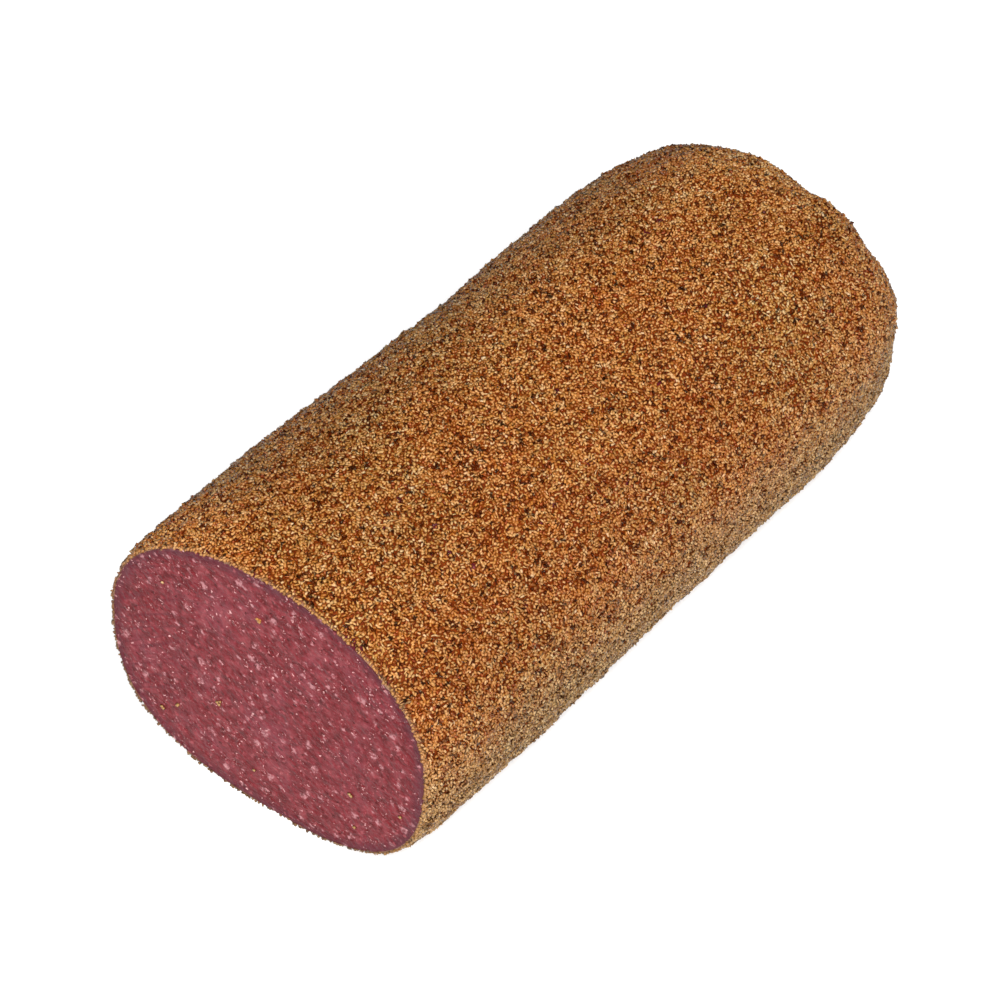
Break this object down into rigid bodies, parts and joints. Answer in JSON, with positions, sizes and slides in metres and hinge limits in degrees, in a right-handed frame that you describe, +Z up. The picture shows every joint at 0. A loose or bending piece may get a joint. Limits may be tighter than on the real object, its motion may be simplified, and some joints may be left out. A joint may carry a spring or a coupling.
{
  "type": "pepper-crusted chicken salami",
  "caption": "Half log of chicken salami with a coarse pepper crust, one cut meat face and one rounded tied end, lying on its underside.",
  "frame": {"origin": "on the table, under the middle of the log's box", "axes": "+Y along the log from the cut face to the tied end, +Z up from the flat underside"},
  "size_m": [0.098, 0.214, 0.0771],
  "materials": {
    "crust": "rough crust of coarse pepper and spice grains, golden brown",
    "meat": "moist cut salami meat, rose red with pale fat flecks"
  },
  "bodies": {
    "root": {"salami_log": "crust"}
  },
  "joints": []
}
